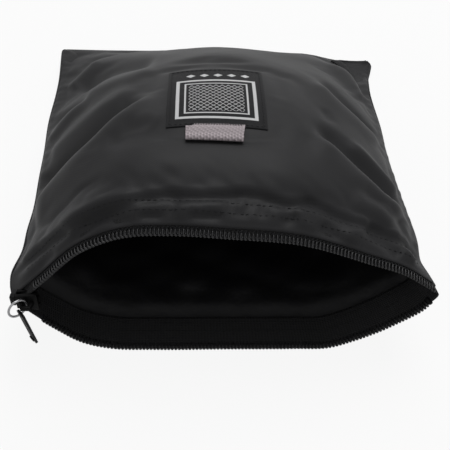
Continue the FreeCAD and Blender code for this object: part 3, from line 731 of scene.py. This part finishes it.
def seam_distance(points, behind):
    """Distance in from the nearer side seam, along x."""
    left, right = edges(np.clip(behind / LENGTH, 0, 1))
    return np.maximum(np.minimum(points[:, 0] - left, right - points[:, 0]), 0)


def fill_out(piece, pinned):
    """Lets the cloth swell and crumple as real cloth does, and keeps the result."""
    start = points_of(piece)
    group = piece.vertex_groups.new(name="pinned")
    for weight in np.unique(pinned):
        group.add(np.nonzero(pinned == weight)[0].tolist(), float(weight), "REPLACE")
    cloth = modifier(piece, "CLOTH")
    settings = cloth.settings
    settings.quality = 6
    settings.mass = 0.002
    settings.tension_stiffness = 15
    settings.compression_stiffness = 15
    settings.shear_stiffness = 8
    settings.bending_stiffness = 0.12
    settings.air_damping = 2
    settings.vertex_group_mass = "pinned"
    settings.use_pressure = True
    settings.uniform_pressure_force = 4
    settings.shrink_min = -0.012
    settings.effector_weights.gravity = 0
    cloth.collision_settings.use_collision = False
    for number in range(1, CLOTH_FRAMES + 1):
        bpy.context.scene.frame_set(number)
    seen = piece.evaluated_get(bpy.context.evaluated_depsgraph_get())
    ends = np.empty(len(start) * 3)
    seen.data.vertices.foreach_get("co", ends)
    moved = ends.reshape(-1, 3) / MM - start
    piece.modifiers.clear()
    piece.vertex_groups.clear()
    bpy.context.scene.frame_set(1)
    far = np.linalg.norm(moved, axis=1)
    moved *= (CLOTH_REACH * np.tanh(far / CLOTH_REACH) / np.maximum(far, 1e-6))[:, None]
    move_points(piece, start + moved)


def fine_heights(points, behind, upper, inward):
    """Heights of the hem with its stitched hollows, and of the puckered side seams."""
    x, y = points[:, 0], points[:, 1]
    along = x + 3 * np.sin(x / 17) + 2 * np.sin(x / 7.7)
    pinch = (0.5 + 0.5 * np.cos(2 * np.pi * along / 19)) ** 2
    uneven = 0.8 + 0.2 * np.sin(x / 5.3 + 2 * np.sin(x / 19))
    line = smooth_line(HEM_BACK)
    past = behind - np.interp(x, line[:, 0], line[:, 1])
    puff = 2.0 * uneven * ease(-2.6, 3.5, behind) * (1 - 0.35 * pinch * ease(2, 7, behind)) * (
        1 - ease(-6, 0.6, past))
    crease = 0.8 * np.exp(-(past / 1.9) ** 2)
    swell = 2.7 * ease(-0.8, 4.8, past) * (1 - ease(25, 60, behind))
    rows = 0.12 * np.exp(-((behind - 3) / 0.7) ** 2)
    wrinkle = 0.22 * ease(0, 3, behind) * (1 - ease(14, 40, behind)) * np.sin(
        along / 1.9 + behind * 0.6) * np.sin(along / 5.7 + 1)
    gathers = sum_folds(points, GATHERS) * ease(-2.5, 1.5, behind)
    height = swell + puff - crease - rows + wrinkle + gathers
    # hollows stay above the zipper tape that lies under the hem
    low = -0.5 - 3 * ease(12, 16, behind)
    height = np.where(height < low, low - 0.8 * np.tanh((low - height) / 1.4), height)
    height *= upper * ease(2, 14, inward)
    beat = np.sin(y / 1.45 + 1.3 * np.sin(y / 7.3)) * np.sin(y / 5.1)
    pucker = 0.45 * beat * np.exp(-inward / 5) * ease(0, 2.5, inward)
    sewn = -0.7 * np.exp(-(inward / 1.6) ** 2)
    return height + (pucker + sewn) * ease(4, 14, behind)


def make_wall():
    """The two panels of cloth and padding as one padded wall."""
    bm = grid(WALL_COLUMNS, WALL_ROWS, wall_place, wrap=0.02)
    face_out(bm)
    wall = write_mesh("pouch_wall", bm)
    scale_uv(wall, 0.47, 0.235)

    # large folds, then the swelling of the padded cloth
    points, behind, upper = wall_facts(wall)
    free = ease(7, 19, behind) * ease(1, 8, seam_distance(points, behind)) * upper
    free *= (0.25 + 0.75 * off_label(points, behind)) * ease(0, 12, LENGTH - behind)
    height = fold_heights(points, behind) * off_label(points, behind)
    height = np.maximum(height, -DEEPEST * points[:, 2])
    height *= upper * ease(0, 7, seam_distance(points, behind))
    height -= (CLOTH_SLACK * free)
    move_points(wall, points + normals_of(wall) * height[:, None])
    fill_out(wall, np.round(1 - free, 2))
    modifier(wall, "SUBSURF", levels=1, render_levels=1)
    bake(wall)

    points, behind, upper = wall_facts(wall)
    inward = seam_distance(points, behind)
    height = fine_heights(points, behind, upper, inward)
    move_points(wall, points + normals_of(wall) * height[:, None])

    # the rim is cloth alone, and padding thickens the wall behind it
    thick = wall.vertex_groups.new(name="thick")
    narrow = np.clip(0.05 + 0.11 * np.minimum(inward, LENGTH - behind), 0.05, 1)
    narrow = narrow * (1 - 0.65 * ease(45, 90, points[:, 0]) * ease(165, 195, behind))
    share = np.round((0.28 + 0.72 * ease(11, 21, behind)) * narrow, 2)
    for weight in np.unique(share):
        thick.add(np.nonzero(share == weight)[0].tolist(), float(weight), "REPLACE")
    return wall


wall = make_wall()
surface = BVHTree.FromPolygons([Vector(p) for p in points_of(wall)],
                               [tuple(p.vertices) for p in wall.data.polygons])
modifier(wall, "SOLIDIFY", thickness=0.0025, offset=-1, vertex_group="thick")
bake(wall)
wall.vertex_groups.clear()
finish_piece(wall, "pouch", ["outer_shell", "padding"], "outer_cloth")


def on_wall(points, way=(0, 0, -1), lift=0.0):
    """The wall's surface met from each point along a way, raised by lift, and its normals."""
    places, outs = [], []
    far = 40
    for point in points:
        hit, normal, _, _ = surface.ray_cast(Vector(point) - Vector(way) * far, Vector(way))
        if hit is None:
            hit, normal, _, _ = surface.find_nearest(Vector(point))
        if normal.dot(Vector(way)) > 0:
            normal = -normal
        places.append(hit + normal * lift)
        outs.append(normal)
    return np.array(places), np.array(outs)


# Lining ---------------------------------------------------

LINING_SIZE = (0.45, 0.21)
LINING_CLOSES = 0.93  # share of its rows after which its two sides meet


def make_lining():
    """The lining: it stops short of the fold, and its end closes between the two panels."""
    def place(a, b):
        above, u = around_wall(a)
        end = 0.94 - 0.11 * ease(0.62, 0.9, u)
        t = mix(0.046, end, np.minimum(b / LINING_CLOSES, 1))
        deep = np.where(above, 1.6 * ease(0, 0.06, u) * ease(0, 0.06, 1 - u), 0)
        inset = 0.95 + deep + 2.7 * ease(0.05, 0.095, t)
        top, under = panel(u, t, True, inset), panel(u, t, False, inset)
        close = 0.5 * np.clip((b - LINING_CLOSES) / (1 - LINING_CLOSES), 0, 1)[:, None]
        return np.where(above[:, None], mix(top, under, close), mix(under, top, close))

    bm = grid(120, 76, place, wrap=0.02)
    face_out(bm)
    lining = write_mesh("pouch_lining", bm)
    scale_uv(lining, *LINING_SIZE)
    points, behind, upper = wall_facts(lining)
    folds = np.minimum(fold_heights(points, behind) * off_label(points, behind), 0) * upper
    crumple = ripple(points, [(8, 31, 0.5), (63, 23, 0.4), (118, 17, 0.3), (150, 27, 0.5)])
    creases = 0.7 * np.abs(ripple(points, [(35, 47, 1), (100, 39, 1)]))
    inward = (crumple + creases + 1.2) * ease(20, 34, behind)
    inward *= ease(2, 14, seam_distance(points, behind))
    folds = np.maximum(folds, -DEEPEST * points[:, 2])
    move_points(lining, points + normals_of(lining) * (folds - inward * 0.8)[:, None])
    modifier(lining, "SUBSURF", levels=1, render_levels=1)
    modifier(lining, "SOLIDIFY", thickness=0.0003, offset=-1)
    bake(lining)
    finish_piece(lining, "pouch", ["lining"], "lining_cloth")


make_lining()


# Zipper ---------------------------------------------------

TAPE_AHEAD, TAPE_INSIDE = 6.6, 12
TAPE_WIDE = (TAPE_AHEAD + TAPE_INSIDE) * MM
CORNER = 0.965  # share across the lips at which the tapes turn the right corner
ROUND_FROM = 0.93  # share of the lower tape's columns after which it rounds that corner
COIL_MIDDLE = 5.4
TOOTH_PITCH = 1.95
TURN_STEPS = 12


def lip_share(x, above):
    """The share across the lip at which its rim reaches x."""
    u = np.linspace(0, 1, 2001)
    return float(np.interp(x, panel(u, 0.0, above)[:, 0], u))


def tape_corner(share, t):
    """Round the right corner from the end of the lower tape to that of the upper one."""
    below, inner = panel(CORNER, t, False, 1.0), panel(CORNER - 0.02, t, False, 1.0)
    top, beyond = panel(CORNER, t, True, 1.0), panel(CORNER - 0.02, t, True, 1.0)
    reach = 7.5
    out_below = (below - inner) / np.linalg.norm(below - inner, axis=-1)[..., None]
    out_top = (top - beyond) / np.linalg.norm(top - beyond, axis=-1)[..., None]
    s = share[..., None]
    return ((1 - s) ** 3 * below + 3 * (1 - s) ** 2 * s * (below + out_below * reach)
            + 3 * (1 - s) * s ** 2 * (top + out_top * reach) + s ** 3 * top)


def make_tape(above):
    side = "upper" if above else "lower"

    def place(a, b):
        t = mix(-TAPE_AHEAD, TAPE_INSIDE, b) / LENGTH
        if above:
            u = mix(0.012, CORNER, a)
            under = 1.1 * ease(2.6, 4.6, -t * LENGTH)
            sunk = under + 1.7 * ease(0.5, 6, t * LENGTH) * ease(0, 0.06, u) * ease(0, 0.06, 1 - u)
            return panel(u, t, above, 1.0 + sunk)
        run = mix(0.012, CORNER, np.minimum(a / ROUND_FROM, 1))
        turned = tape_corner(np.clip((a - ROUND_FROM) / (1 - ROUND_FROM), 0, 1), t)
        return np.where((a > ROUND_FROM)[:, None], turned, panel(run, t, above, 1.0))

    bm = grid(220, 14, place)
    if not above:
        bmesh.ops.reverse_faces(bm, faces=bm.faces)
    tape = write_mesh("tape_" + side, bm)
    long = 0.245 if above else 0.255
    scale_uv(tape, long, TAPE_WIDE)
    modifier(tape, "SOLIDIFY", thickness=0.0007, offset=-1)
    bake(tape)
    finish_piece(tape, "pouch", ["zip_tape_" + side], "zip_tape")


def lip_frames(above, ahead, inset, first, last, step):
    """Evenly spaced places along a lip, with the ways along it, ahead of it and outwards."""
    u = np.linspace(lip_share(first, above), lip_share(last, above), 1600)
    line = panel(u, -ahead / LENGTH, above, inset)
    back = panel(u, (2 - ahead) / LENGTH, above, inset)
    gone = np.concatenate([[0], np.cumsum(np.linalg.norm(np.diff(line, axis=0), axis=1))])
    where = np.arange(0, gone[-1], step)
    take = [np.interp(where, gone, values) for values in (*line.T, *back.T)]
    line, back = np.array(take[:3]).T, np.array(take[3:]).T
    along = np.gradient(line, axis=0)
    along /= np.linalg.norm(along, axis=1)[:, None]
    out = np.cross(line - back, along) * (-1 if above else 1)
    out /= np.linalg.norm(out, axis=1)[:, None]
    front = np.cross(along, out)
    front *= np.sign((front * (line - back)).sum(1))[:, None]
    return line, along, front, out


def make_coil(above, first, last):
    """A filament wound in flat turns along the lip, with a swollen head on each turn."""
    side = "upper" if above else "lower"
    step = TOOTH_PITCH / TURN_STEPS
    line, along, front, out = lip_frames(above, COIL_MIDDLE, 1.3, first, last, step)
    turn = np.arange(len(line)) * 2 * np.pi / TURN_STEPS
    wide, tall = 1.75, 0.72
    lean = 0.16 * np.sin(2 * turn)
    points = (line + front * (wide * np.cos(turn))[:, None] + out * (tall * np.sin(turn))[:, None]
              + along * (lean * TOOTH_PITCH)[:, None])
    curve = bpy.data.curves.new("coil", "CURVE")
    curve.dimensions = "3D"
    curve.bevel_depth = 0.0004
    curve.bevel_resolution = 1
    curve.use_fill_caps = True
    spline = curve.splines.new("POLY")
    spline.points.add(len(points) - 1)
    flat = np.column_stack([points * MM, np.ones(len(points))])
    spline.points.foreach_set("co", flat.ravel())
    swollen = 1 + 0.6 * ease(0.5, 1, np.cos(turn))
    spline.points.foreach_set("radius", swollen)
    wound = bpy.data.objects.new("coil", curve)
    bpy.context.scene.collection.objects.link(wound)
    bpy.context.view_layer.update()
    seen = wound.evaluated_get(bpy.context.evaluated_depsgraph_get())
    mesh = bpy.data.meshes.new_from_object(seen)
    bpy.data.objects.remove(wound)
    mesh.name = "coil_" + side
    coil = bpy.data.objects.new("coil_" + side, mesh)
    bpy.context.scene.collection.objects.link(coil)
    for polygon in mesh.polygons:
        polygon.use_smooth = True
    finish_piece(coil, "pouch", ["zip_coil_" + side], "zip_coil")


for above in (True, False):
    make_tape(above)
make_coil(True, -100, 107.5)
make_coil(False, -99, 107)


# Thread ---------------------------------------------------

def stitches(name, places, ways, outs, long, wide, replaced):
    """A row of separate stitches: each is a small rounded bar that lies along its way."""
    bm = bmesh.new()
    for place, way, out in zip(places, ways, outs):
        way, out = Vector(way).normalized(), Vector(out).normalized()
        side = out.cross(way).normalized()
        turned = Matrix((way, side, way.cross(side))).transposed().to_4x4()
        sized = Matrix.Diagonal((long / 2, wide / 2, wide / 2, 1))
        bmesh.ops.create_uvsphere(bm, u_segments=6, v_segments=4, radius=1,
                                  matrix=Matrix.Translation(place) @ turned @ sized)
    finish_piece(write_mesh(name, bm), "pouch", [replaced], "thread")


def coil_rows(above):
    """Two rows of thread, one stitch to a tooth, that hold a coil to its tape."""
    places, ways, outs = [], [], []
    for ahead, inset in ((4.5, 0.2), (3.6, 0.6)):
        line, along, _, out = lip_frames(above, ahead, inset, -99, 106, TOOTH_PITCH)
        places.append(line)
        ways.append(along)
        outs.append(out)
    side = "upper" if above else "lower"
    stitches("coil_thread_" + side, np.concatenate(places), np.concatenate(ways),
             np.concatenate(outs), 1.3, 0.55, "zip_coil_" + side)


def lip_rows():
    for number, behind in (("1", 3.0), ("2", 8.3)):
        line, along, _, _ = lip_frames(True, -behind, 0, -100, 101, 3.1)
        places, outs = on_wall(line + (0, 0, 4), way=(0, 0.25, -0.97), lift=-0.1)
        stitches("upper_row_" + number, places, along, outs, 2.5, 0.6, "lip_stitch_upper_" + number)
        line, along, _, out = lip_frames(False, -behind, 1.75, -98, 100, 3.1)
        stitches("lower_row_" + number, line, along, out, 2.5, 0.55, "lip_stitch_lower_" + number)


lip_rows()
for above in (True, False):
    coil_rows(above)


# Label and webbing ----------------------------------------

def label_point(x, t, lift):
    x, t = np.asarray(x, float), np.asarray(t, float)
    return on_wall(stand(x, t, arch(x, t)), lift=lift)


def make_label():
    left, right, front, back = LABEL

    def place(a, b):
        edge = np.minimum(np.minimum(a, 1 - a) * 52, np.minimum(b, 1 - b) * 58)
        places, outs = label_point(mix(left, right, a), mix(front, back, b), 0.45)
        return places + outs * (0.25 * np.exp(-((edge - 0.9) / 1.1) ** 2))[:, None]

    bm = grid(64, 72, place)
    label = write_mesh("label", bm)
    scale_uv(label, *LABEL_SIZE)
    modifier(label, "SOLIDIFY", thickness=0.0006, offset=-1)
    modifier(label, "BEVEL", width=0.00015, segments=2, limit_method="ANGLE")
    bake(label)
    finish_piece(label, "pouch", ["label_patch"], "label_cloth")

    across = np.arange(left + 2.4, right - 1.6, 2.6)
    down = np.arange(front * LENGTH + 3.2, back * LENGTH - 1.6, 2.6) / LENGTH
    edge = 1.8
    x = np.concatenate([across, across, np.full(len(down), left + edge),
                        np.full(len(down), right - edge)])
    t = np.concatenate([np.full(len(across), front + edge / LENGTH),
                        np.full(len(across), back - edge / LENGTH), down, down])
    sideways = np.arange(len(x)) < 2 * len(across)
    places, outs = label_point(x, t, 0.62)
    ahead, _ = label_point(np.where(sideways, x + 1, x),
                           np.where(sideways, t, t + 1 / LENGTH), 0.62)
    stitches("label_stitches", places, ahead - places, outs, 2.0, 0.5, "label_stitching")


WEBBING_LEFT, WEBBING_RIGHT = -21, 8
WEBBING_SIZE = (0.029, 0.027)


def make_webbing():
    front = LABEL[2]
    profile = smooth_line([(0.6, 1.15), (-0.8, 1.5), (-3, 2.7), (-7, 3.3), (-10.3, 3.0),
                           (-11.2, 2.1), (-10.2, 1.2), (-7, 0.95), (-3, 0.85), (-0.3, 0.75)], 60)

    def place(a, b):
        y, lift = (np.interp(b, np.linspace(0, 1, len(profile)), part) for part in profile.T)
        skew = np.clip((y + 8) / 8.6, 0, 1) * (b < 0.5)
        places, outs = label_point(mix(WEBBING_LEFT + 4.4 * skew, WEBBING_RIGHT + 1.2 * skew, a),
                                   front + y / LENGTH, 0)
        up = outs.mean(axis=0)
        return places + up / np.linalg.norm(up) * lift[:, None]

    bm = grid(30, 44, place)
    face_out(bm)
    strip = write_mesh("webbing_strip", bm)
    scale_uv(strip, *WEBBING_SIZE)
    modifier(strip, "SOLIDIFY", thickness=0.0012, offset=0)
    modifier(strip, "BEVEL", width=0.0003, segments=2, limit_method="ANGLE")
    bake(strip)
    give_finish(strip, "webbing")
    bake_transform(strip)
    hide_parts("webbing_root", "webbing_loop")

    x = np.arange(WEBBING_LEFT + 4.2, WEBBING_RIGHT - 0.1, 0.8)
    places, outs = label_point(x, np.full(len(x), front + 0.1 / LENGTH), 1.95)
    ways = np.tile((0.12, 1, 0), (len(x), 1)) * np.where(np.arange(len(x)) % 2, 1, -1)[:, None]
    ways[:, 1] = 1
    stitches("webbing_bar", places, ways, outs, 1.9, 0.5, "webbing_tack")


make_label()
make_webbing()


# Slider, stops and bindings -------------------------------

def rounded_copy(name, node, body, slot, width, inset=0.0):
    """A piece cut from a node's own mesh, slimmed by inset, with its sharp edges rounded."""
    bm = bmesh.new()
    bm.from_mesh(frame["nodes"][node].data)
    bmesh.ops.scale(bm, vec=(1 / MM,) * 3, verts=bm.verts)
    bmesh.ops.remove_doubles(bm, verts=bm.verts, dist=0.003)
    bmesh.ops.dissolve_limit(bm, angle_limit=math.radians(2), verts=bm.verts, edges=bm.edges)
    bm.normal_update()
    for vert in bm.verts:
        vert.co -= vert.normal * inset
    sharp = [edge for edge in bm.edges
             if len(edge.link_faces) == 2 and edge.calc_face_angle(0) > math.radians(35)]
    bmesh.ops.bevel(bm, geom=sharp, affect="EDGES", offset=width, segments=3, profile=0.5,
                    material=-1, clamp_overlap=True)
    piece = write_mesh(name, bm)
    piece.data.set_sharp_from_angle(angle=math.radians(40))
    finish_piece(piece, body, [node], slot)


def make_ring():
    low, high = (np.array(c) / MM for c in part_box("pull_ring"))
    middle = (low + high) / 2
    swing = next(j for j in frame["joints"] if j["name"] == "ring_swing")
    eye = np.array(swing["pos_m"]) / MM
    axis = np.array(swing["axis"])
    out = middle - eye
    out -= axis * (out @ axis)
    out /= np.linalg.norm(out)
    normal = Vector(np.cross(axis, out))
    bm = bmesh.new()
    loop = bmesh.ops.create_circle(bm, segments=14, radius=0.6,
                                   matrix=Matrix.Translation((4.9, 0, 0)) @ Matrix.Rotation(
                                       math.pi / 2, 4, "X"))
    bmesh.ops.spin(bm, geom=loop["verts"] + bm.edges[:], cent=(0, 0, 0), axis=(0, 0, 1),
                   angle=2 * math.pi, steps=56, use_merge=True)
    turn = Vector((0, 0, 1)).rotation_difference(normal).to_matrix().to_4x4()
    bmesh.ops.transform(bm, matrix=Matrix.Translation(middle) @ turn, verts=bm.verts)
    bmesh.ops.remove_doubles(bm, verts=bm.verts, dist=0.001)
    bmesh.ops.recalc_face_normals(bm, faces=bm.faces)
    finish_piece(write_mesh("ring", bm), "ring", ["pull_ring"], "ring_metal")


def make_binding(side):
    """The bound seam allowance that stands inside a side seam."""
    name = "left" if side < 0 else "right"

    def place(a, b):
        t = mix(0.07, 0.955, b)
        seam, half, run, _ = section(t)
        turn = a * 2 * np.pi
        root = half - 5.2 / np.sin(np.arctan(seam / run))
        x = side * (root - 3.4 + 3.4 * np.cos(turn)) - SWAY * t * (1 - t)
        mouth = 1 - ease(0, 0.55, t)
        change = np.interp(side * 109, lip_above[:, 0], lip_above[:, 1]) - 40.5 + (
            4 * ease(0.75, 1, t) * (side < 0) - 2 * ease(0.75, 1, t) * (side > 0))
        v = seam + mouth * change + 1.0 * np.sin(turn) + 0.5 * np.sin(b * 40)
        return stand(x, t, v)

    bm = grid(14, 90, place, wrap=0.02)
    bmesh.ops.holes_fill(bm, edges=[e for e in bm.edges if e.is_boundary], sides=40)
    bmesh.ops.recalc_face_normals(bm, faces=bm.faces)
    piece = write_mesh("binding_" + name, bm)
    finish_piece(piece, "pouch", ["side_binding_" + name], "binding")


def make_stop(above):
    """A pressed metal stop clamped over the last turns of a coil."""
    side = "upper" if above else "lower"
    line, along, front, out = lip_frames(above, COIL_MIDDLE, 1.3, 90, 107, 1)
    x, y, z = Vector(along[-1]), Vector(front[-1]), Vector(out[-1])
    turned = Matrix((x, y, z)).transposed().to_4x4()
    bm = bmesh.new()
    bmesh.ops.create_cube(bm, size=1, matrix=Matrix.Translation(line[-1]) @ turned @ (
        Matrix.Diagonal((2, 4.4, 2.4, 1))))
    bmesh.ops.bevel(bm, geom=bm.edges[:], affect="EDGES", offset=0.6, segments=3, profile=0.5,
                    material=-1)
    bmesh.ops.recalc_face_normals(bm, faces=bm.faces)
    piece = write_mesh("stop_" + side, bm)
    finish_piece(piece, "pouch", ["top_stop_" + side], "stop_metal")


make_ring()
rounded_copy("slider", "slider_body", "slider", "slider_paint", 0.35)
rounded_copy("bridge", "slider_crown", "slider", "slider_paint", 0.3)
rounded_copy("tab", "pull_tab", "pull", "slider_paint", 0.2, inset=0.2)
rounded_copy("coil_end", "zip_end", "pouch", "zip_tape", 0.4)
rounded_copy("end_stop", "bottom_stop", "pouch", "stop_metal", 0.3)
for side in (-1, 1):
    make_binding(side)
for above in (True, False):
    make_stop(above)


# Floor and light ------------------------------------------

def white_floor():
    """A white floor that keeps the object's soft shadow."""
    floor = Finish("studio floor", (0.82, 0.82, 0.82), 0.9)
    glow = floor.node("ShaderNodeEmission", inputs={"Strength": 1.0})
    lit = Signal(floor, floor.shader.outputs["BSDF"])
    inputs = {0: floor.seen_directly() * 0.9, 1: lit, 2: glow}
    total = floor.node("ShaderNodeMixShader", inputs=inputs)
    floor.feed(floor.tree.nodes["Material Output"].inputs["Surface"], total)
    bm = bmesh.new()
    bmesh.ops.create_grid(bm, x_segments=1, y_segments=1, size=30000)
    piece = write_mesh("studio_floor", bm)
    piece.data.materials.append(floor.material)


def lamp(name, place, wide, power):
    """A round lamp that aims at the middle of the pouch."""
    data = bpy.data.lights.new(name, "AREA")
    data.shape = "DISK"
    data.size = wide
    data.energy = power
    light = bpy.data.objects.new(name, data)
    light.location = place
    way = Vector((0, 0, 0.05)) - Vector(place)
    light.rotation_euler = way.to_track_quat("-Z", "Y").to_euler()
    bpy.context.scene.collection.objects.link(light)


def studio_world():
    """White where it is seen, and dimmer where it lights the object."""
    world = bpy.data.worlds.new("studio")
    world.use_nodes = True
    graph = Graph(world.node_tree)
    inputs = {"Value": graph.seen_directly(), "To Min": 0.25, "To Max": 1}
    sky = world.node_tree.nodes["Background"].inputs
    graph.feed(sky["Strength"], graph.node("ShaderNodeMapRange", inputs=inputs))
    graph.feed(sky["Color"], (1, 1, 1, 1))
    bpy.context.scene.world = world


white_floor()
studio_world()
lamp("key", (0.16, 0.62, 1.08), 0.8, 9.6)
lamp("fill", (0.3, -0.9, 1.2), 1.0, 1.2)
bpy.context.scene.view_settings.view_transform = "Standard"
